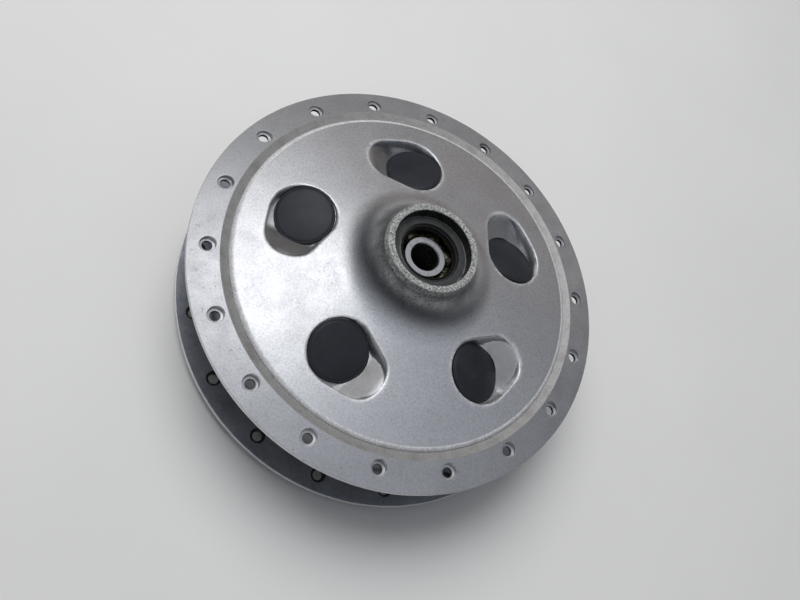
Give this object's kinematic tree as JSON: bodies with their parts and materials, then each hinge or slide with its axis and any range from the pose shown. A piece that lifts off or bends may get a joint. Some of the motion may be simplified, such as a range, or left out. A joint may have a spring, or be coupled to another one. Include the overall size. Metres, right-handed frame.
{
  "type": "spoked wheel hub",
  "caption": "Motorcycle drum-brake hub with two spoke flanges, domed side with capped scoops, and ball bearings with seals.",
  "frame": {"origin": "on the axle line, on the plane that the lip of the brake drum stands on", "axes": "+Z along the axle, out of the domed side; +X through a spoke hole of the upper flange"},
  "size_m": [0.26, 0.26, 0.0973],
  "materials": {
    "cast_aluminium": "polished casting dulled with age, with fine pitting",
    "drum_iron": "turned cast iron, lightly rusted",
    "cap_rubber": "smooth moulded rubber, satin",
    "race_steel": "ground bearing steel",
    "ball_steel": "polished bearing steel under grease",
    "cage_steel": "pressed sheet steel under old grease",
    "seal_case_steel": "dark coated pressed steel",
    "seal_rubber": "black nitrile rubber, oily",
    "spring_steel": "drawn steel wire",
    "tube_steel": "drawn steel tube, dull"
  },
  "bodies": {
    "core": {"spacer_tube": "tube_steel", "dome_bearing_inner_race": "race_steel", "drum_bearing_inner_race": "race_steel"},
    "hub": {"hub_shell": "cast_aluminium", "brake_liner": "drum_iron", "scoop_cap_1": "cap_rubber", "scoop_cap_2": "cap_rubber", "scoop_cap_3": "cap_rubber", "scoop_cap_4": "cap_rubber", "scoop_cap_5": "cap_rubber", "dome_bearing_outer_race": "race_steel", "dome_seal_case": "seal_case_steel", "dome_seal_lip": "seal_rubber", "dome_seal_spring": "spring_steel", "drum_bearing_outer_race": "race_steel", "drum_seal_case": "seal_case_steel", "drum_seal_lip": "seal_rubber", "drum_seal_spring": "spring_steel"},
    "dome_cage": {"dome_bearing_balls": "ball_steel", "dome_bearing_cage_top": "cage_steel", "dome_bearing_cage_bottom": "cage_steel", "dome_bearing_rivets": "cage_steel"},
    "drum_cage": {"drum_bearing_balls": "ball_steel", "drum_bearing_cage_top": "cage_steel", "drum_bearing_cage_bottom": "cage_steel", "drum_bearing_rivets": "cage_steel"}
  },
  "joints": [
    {"name": "hub_spin", "type": "hinge", "parent": "core", "child": "hub", "pos_m": [0, 0, 0.0535], "axis": [0, 0, 1], "continuous": true},
    {"name": "dome_cage_spin", "type": "hinge", "parent": "core", "child": "dome_cage", "pos_m": [0, 0, 0.0775], "axis": [0, 0, 1], "continuous": true},
    {"name": "drum_cage_spin", "type": "hinge", "parent": "core", "child": "drum_cage", "pos_m": [0, 0, 0.0295], "axis": [0, 0, 1], "continuous": true}
  ],
  "couplings": [
    {"joint": "dome_cage_spin", "follows": "hub_spin", "ratio": 0.6364},
    {"joint": "drum_cage_spin", "follows": "hub_spin", "ratio": 0.6364}
  ]
}
